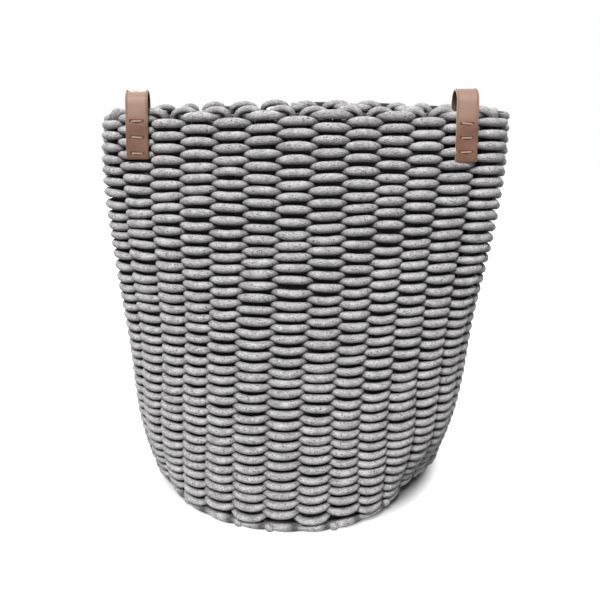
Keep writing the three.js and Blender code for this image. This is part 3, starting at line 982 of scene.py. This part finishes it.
def strapPiece(side):
    lengths = strapLine(side)[1]
    total = lengths[-1]
    profile, raw = stripProfile()
    sides = len(profile)
    along = np.concatenate([[0.0], lengths[1:-1], [total]])
    softened = np.r_[strap["endRound"], np.zeros(len(along) - 2), -strap["endRound"]]
    along = np.concatenate([[0.0], along + softened, [total]])
    shrink = np.r_[strap["endShrink"], np.ones(len(along) - 2), strap["endShrink"]][:, None]
    across = profile[None, :, 0] * (1 - (1 - shrink) * 0.12)
    points = onStrap(side, np.repeat(along[:, None], sides, 1), across, profile[None, :, 1] * shrink)[0]
    place = np.stack(np.broadcast_arrays(profile[None, :, 0], along[:, None], profile[None, :, 1]), -1)
    rawEdge = np.broadcast_to(raw, (len(along), sides)).copy()
    rawEdge[[0, -1]] = 1.0
    fromEnd = np.minimum(along, total - along)
    phase = np.repeat((fromEnd - handles[side]["lowest"]) / handles[side]["pitch"], sides)
    i = np.arange(len(along) - 1)[:, None] * sides
    s = np.arange(sides)[None]
    t = (s + 1) % sides
    quads = np.stack(np.broadcast_arrays(i + s, i + sides + s, i + sides + t, i + t), -1).reshape(-1, 4)
    points, place = points.reshape(-1, 3), place.reshape(-1, 3)
    last = len(points) - sides
    faces = quads.tolist() + [list(range(sides)), list(range(last, last + sides))[::-1]]
    attributes = {"strapPlace": place, "rawEdge": rawEdge.ravel(), "stitchPhase": phase}
    makePiece(side + "_strap", points, faces, leatherStrap, side + "_handle", attributes)


def stitch(side, height, tilt):  # one thread across the outer leg, from hole to hole
    t = np.linspace(0, 1, 13)
    reach = strap["stitchLength"] / 2
    above = strap["thickness"] / 2 + np.sin(math.pi * t) ** 0.4 * thread["rise"] - thread["sunk"]
    path, normal = onStrap(side, height + tilt * (t - 0.5), reach * (2 * t - 1), above)
    return sweep(path, normal, thread["half"] * 0.8, thread["half"], thread["sides"])


def seamStitch(side, along, across):
    t = np.linspace(0, 1, 6)
    above = strap["thickness"] / 2 + np.sin(math.pi * t) * thread["seamRise"] - thread["seamSunk"]
    path, normal = onStrap(side, along + (t - 0.5) * strap["seamPitch"] * 0.9, np.full(len(t), across), above)
    return sweep(path, normal, thread["seamHalf"], thread["seamHalf"], thread["seamSides"])


for side in handles:
    strapPiece(side)
    for n in range(3):
        height = handles[side]["lowest"] + (2 - n) * handles[side]["pitch"]
        points, quads, place = stitch(side, height, handles[side]["tilts"][n])
        name = "%s_stitch_%d" % (side, n + 1)
        node = "%s_handle_stitch_%d" % (side, n + 1)
        faces = capped(points, quads, thread["sides"])
        makePiece(name, points, faces, waxedThread, node, {"cordPlace": place})
    total = strapLine(side)[1][-1]
    unsewn = handles[side]["lowest"] + 2.25 * handles[side]["pitch"]
    first = math.ceil(unsewn / strap["seamPitch"])
    places = np.arange(first, (total - unsewn) / strap["seamPitch"]) * strap["seamPitch"]
    edge = strap["width"] / 2 - strap["seamInset"]
    seam = [seamStitch(side, along, across) for along in places for across in (-edge, edge)]
    points, faces, place = joined(seam, thread["seamSides"])
    makePiece(side + "_seam", points, faces, waxedThread, None, {"cordPlace": place})
print("sewed on the straps")

# A pale floor that turns pure white away from the basket, a white world and three soft lamps.
studio = {
    "floorSize": 6.0,
    "floorGlow": 0.84,
    "overFoot": (1 / 0.2075, 1 / 0.1715, 0.0),  # one over the foot's half width and half depth
    "glowFrom": 0.84,  # the glow starts under the foot's edge, as a share of the way out to it
    "glowTo": 1.0,
    "whiteFrom": 0.35,
    "whiteTo": 0.75,
    "ambient": 0.13,
    "key": {"place": (-0.96, -3.76, 5.1), "size": 1.92, "power": 465.0},
    "fill": {"place": (1.9, 0.9, 1.5), "size": 1.5, "power": 5.0},
    "back": {"place": (-1.2, 2.6, 2.4), "size": 1.6, "power": 120.0},
}


def paleFloor():
    shop = Shop(bpy.data.materials.new("pale_floor"))
    place = shop.node("ShaderNodeTexCoord", None, None, "Object")
    colour = shop.mix(shop.noise(place, 3.0), (0.36, 0.36, 0.36, 1), (0.39, 0.39, 0.39, 1))
    away = shop.step(shop.vector("LENGTH", place, output="Value"), studio["whiteFrom"], studio["whiteTo"])
    oval = shop.vector("MULTIPLY", place, studio["overFoot"])
    outside = shop.step(shop.vector("LENGTH", oval, output="Value"), studio["glowFrom"], studio["glowTo"])
    glowing = away * (1 - studio["floorGlow"]) + studio["floorGlow"]
    strength = shop.seenDirectly() * outside * glowing
    glow = shop.node("ShaderNodeEmission", None, {"Color": (1, 1, 1, 1), "Strength": strength})
    plain = shop.node("ShaderNodeBsdfDiffuse", None, {"Color": colour})
    both = shop.node("ShaderNodeAddShader", None, {0: glow, 1: plain})
    shop.node("ShaderNodeOutputMaterial", None, {"Surface": both})
    return shop.owner


half = studio["floorSize"] / 2
floorMesh = bpy.data.meshes.new("floor")
corners = [(x * half, y * half, 0) for x, y in ((-1, -1), (1, -1), (1, 1), (-1, 1))]
floorMesh.from_pydata(corners, [], [(0, 1, 2, 3)])
floorMesh.materials.append(paleFloor())
floor = bpy.data.objects.new("floor", floorMesh)
floor.location.z = -0.0002
bpy.context.scene.collection.objects.link(floor)

white = Shop(bpy.data.worlds.new("studio"))
dim, bright = [
    white.node("ShaderNodeBackground", None, {"Color": (1, 1, 1, 1), "Strength": strength})
    for strength in (studio["ambient"], 1.0)
]
seen = white.node("ShaderNodeMixShader", None, {0: white.seenDirectly(), 1: dim, 2: bright})
white.node("ShaderNodeOutputWorld", None, {"Surface": seen})
bpy.context.scene.world = white.owner

for name in ("key", "fill", "back"):
    lamp = bpy.data.lights.new(name, "AREA")
    lamp.energy = studio[name]["power"]
    lamp.size = studio[name]["size"]
    holder = bpy.data.objects.new(name, lamp)
    holder.location = studio[name]["place"]
    aim = Vector((0, 0, 0.3)) - holder.location
    holder.rotation_euler = aim.to_track_quat("-Z", "Y").to_euler()
    bpy.context.scene.collection.objects.link(holder)

# The photograph's view. Its focal length is in pixels of a frame this wide.
view = {"place": (1.1, -867.0, 537.9), "down": 18.76, "roll": 0.83, "focal": 685.0, "frame": 600.0}
camera = bpy.data.objects.new("camera", bpy.data.cameras.new("camera"))
camera.data.sensor_width = 36.0
camera.data.lens = view["focal"] / view["frame"] * 36.0
down, roll = math.radians(view["down"]), math.radians(view["roll"])
forward = Vector((0, math.cos(down), -math.sin(down)))
level = Vector((1, 0, 0))
above = level.cross(forward)
right = level * math.cos(roll) + above * math.sin(roll)
top = above * math.cos(roll) - level * math.sin(roll)
camera.matrix_world = Matrix((right, top, -forward)).transposed().to_4x4()
camera.location = Vector((np.array(view["place"]) + moved) / 1000)
bpy.context.scene.collection.objects.link(camera)
bpy.context.scene.camera = camera
bpy.context.scene.view_settings.view_transform = "Standard"
print("set the studio and the camera")
